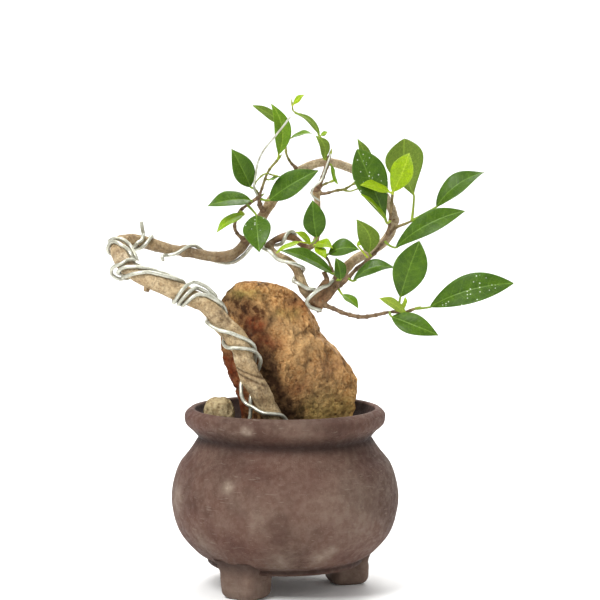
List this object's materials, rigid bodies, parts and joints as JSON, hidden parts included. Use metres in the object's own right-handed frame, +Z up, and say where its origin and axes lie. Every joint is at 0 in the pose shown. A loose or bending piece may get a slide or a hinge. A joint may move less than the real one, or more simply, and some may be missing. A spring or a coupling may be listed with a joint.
{
  "type": "chinese banyan bonsai",
  "caption": "Small Chinese banyan bonsai: a bent, wired trunk leaning over an upright ochre stone, with sparse leafy shoots, in a round bellied clay pot on short block feet.",
  "frame": {"origin": "middle of the bounding box seen from above, at the height of the feet's soles", "axes": "+Z up, -Y towards the viewer of the bonsai's front, +X to the viewer's right"},
  "size_m": [0.2556, 0.145, 0.313],
  "materials": {
    "clay": "unglazed, matte, dusty",
    "soil": "damp, crumbly",
    "rock": "rough, weathered",
    "side_stone": "granular",
    "bark": "rough bark",
    "wire": "bright, drawn",
    "foliage": "smooth leaf, satin"
  },
  "bodies": {
    "root": {"pot": "clay", "soil": "soil", "rock": "rock", "side_stone": "side_stone", "trunk": "bark", "wire_first": "wire", "wire_second": "wire", "wire_third": "wire", "wire_rear": "wire", "wire_leader": "wire", "wire_bend": "wire", "wire_free": "wire", "wire_crown": "wire", "spray_crown": "foliage", "spray_upper_left": "foliage", "spray_left": "foliage", "spray_inner": "foliage", "spray_centre": "foliage", "spray_right": "foliage", "spray_low_right": "foliage"}
  },
  "joints": []
}
